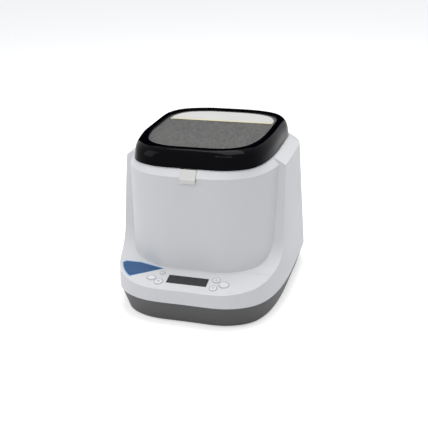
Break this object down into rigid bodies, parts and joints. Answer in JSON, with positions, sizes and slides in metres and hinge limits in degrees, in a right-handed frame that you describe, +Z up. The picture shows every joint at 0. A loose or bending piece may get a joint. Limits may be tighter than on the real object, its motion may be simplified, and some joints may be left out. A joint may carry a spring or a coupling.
{
  "type": "microplate centrifuge",
  "caption": "Bench centrifuge for two microplates: white moulded housing with a sloping control deck, hinged dark lid with a window, upright plate rotor.",
  "frame": {"origin": "centre of the footprint on the bench", "axes": "+Z up, -Y towards the user and the control deck, +X to the user's right"},
  "size_m": [0.2704, 0.3245, 0.2617],
  "materials": {
    "housing_white": "fine matte",
    "base_grey": "matte",
    "foot_rubber": "matte",
    "screw_steel": "satin",
    "plated_steel": "satin",
    "motor_black": "satin",
    "overlay_film": "matte",
    "badge_blue": "satin",
    "display_pane": "gloss",
    "module_black": "matte",
    "board_green": "satin",
    "bowl_steel": "brushed",
    "seal_rubber": "matte",
    "hinge_black": "satin",
    "pin_steel": "polished",
    "latch_steel": "satin",
    "panel_grey": "matte",
    "inlet_black": "satin",
    "lid_black": "high gloss",
    "smoked_pane": "smoked, clear",
    "liner_black": "matte",
    "label_white": "satin",
    "rotor_aluminium": "bead blasted",
    "nut_black": "satin",
    "rocker_black": "satin",
    "key_white": "satin"
  },
  "bodies": {
    "base": {"housing_shell": "housing_white", "base_tray": "base_grey", "base_feet": "foot_rubber", "base_screws": "screw_steel", "chassis_plate": "plated_steel", "motor_dampers": "foot_rubber", "motor_plate": "plated_steel", "motor_body": "motor_black", "power_supply": "plated_steel", "control_overlay": "overlay_film", "badge_plate": "badge_blue", "display_window": "display_pane", "display_module": "module_black", "control_board": "board_green", "board_screws": "screw_steel", "chamber_bowl": "bowl_steel", "lid_seal": "seal_rubber", "hinge_bracket_left": "hinge_black", "hinge_bracket_right": "hinge_black", "hinge_pin_left": "pin_steel", "hinge_pin_right": "pin_steel", "latch_block": "latch_steel", "latch_pin": "pin_steel", "lock_solenoid": "motor_black", "rear_panel": "panel_grey", "panel_screws": "screw_steel", "power_inlet": "inlet_black", "switch_frame": "inlet_black"},
    "lid": {"lid_frame": "lid_black", "lid_window": "smoked_pane", "window_gasket": "seal_rubber", "lid_liner": "liner_black", "liner_screws": "screw_steel", "lid_striker": "latch_steel", "label_plate": "label_white", "hinge_arm_left": "hinge_black", "hinge_arm_right": "hinge_black"},
    "latch": {"latch_tab": "latch_steel"},
    "rotor": {"spindle": "pin_steel", "rotor_yoke": "rotor_aluminium", "plate_carrier_left": "rotor_aluminium", "plate_carrier_right": "rotor_aluminium", "rotor_nut": "nut_black", "rotor_screws": "screw_steel"},
    "lock": {"lock_plunger": "pin_steel"},
    "switch": {"rocker_switch": "rocker_black"},
    "key_lamp_button": {"key_lamp": "key_white"},
    "key_open_button": {"key_open": "key_white"},
    "key_stop_button": {"key_stop": "key_white"},
    "key_up_button": {"key_up": "key_white"},
    "key_down_button": {"key_down": "key_white"},
    "key_start_button": {"key_start": "key_white"}
  },
  "joints": [
    {"name": "lid_hinge", "type": "hinge", "parent": "base", "child": "lid", "pos_m": [0, 0.1355, 0.243], "axis": [-1, 0, 0], "range_deg": [0, 80]},
    {"name": "latch_pivot", "type": "hinge", "parent": "base", "child": "latch", "pos_m": [0, -0.107, 0.228], "axis": [-1, 0, 0], "range_deg": [0, 12], "stiffness_Nm_per_rad": 0.05, "springref_deg": -11.46},
    {"name": "rotor_spin", "type": "hinge", "parent": "base", "child": "rotor", "pos_m": [0, 0.012, 0.1], "axis": [0, 0, 1], "continuous": true},
    {"name": "lock_slide", "type": "slide", "parent": "base", "child": "lock", "axis": [0, 0, 1], "range_m": [0, 0.006], "stiffness_N_per_m": 60, "springref_m": -0.004},
    {"name": "rocker_tip", "type": "hinge", "parent": "base", "child": "switch", "pos_m": [-0.01, 0.149, 0.08], "axis": [1, 0, 0], "range_deg": [0, 14]},
    {"name": "key_lamp_press", "type": "slide", "parent": "base", "child": "key_lamp_button", "axis": [0, 0.23, -0.9732], "range_m": [0, 0.001], "stiffness_N_per_m": 400, "springref_m": -0.001},
    {"name": "key_open_press", "type": "slide", "parent": "base", "child": "key_open_button", "axis": [0, 0.23, -0.9732], "range_m": [0, 0.001], "stiffness_N_per_m": 400, "springref_m": -0.001},
    {"name": "key_stop_press", "type": "slide", "parent": "base", "child": "key_stop_button", "axis": [0, 0.23, -0.9732], "range_m": [0, 0.001], "stiffness_N_per_m": 400, "springref_m": -0.001},
    {"name": "key_up_press", "type": "slide", "parent": "base", "child": "key_up_button", "axis": [0, 0.23, -0.9732], "range_m": [0, 0.001], "stiffness_N_per_m": 400, "springref_m": -0.001},
    {"name": "key_down_press", "type": "slide", "parent": "base", "child": "key_down_button", "axis": [0, 0.23, -0.9732], "range_m": [0, 0.001], "stiffness_N_per_m": 400, "springref_m": -0.001},
    {"name": "key_start_press", "type": "slide", "parent": "base", "child": "key_start_button", "axis": [0, 0.23, -0.9732], "range_m": [0, 0.001], "stiffness_N_per_m": 400, "springref_m": -0.001}
  ]
}
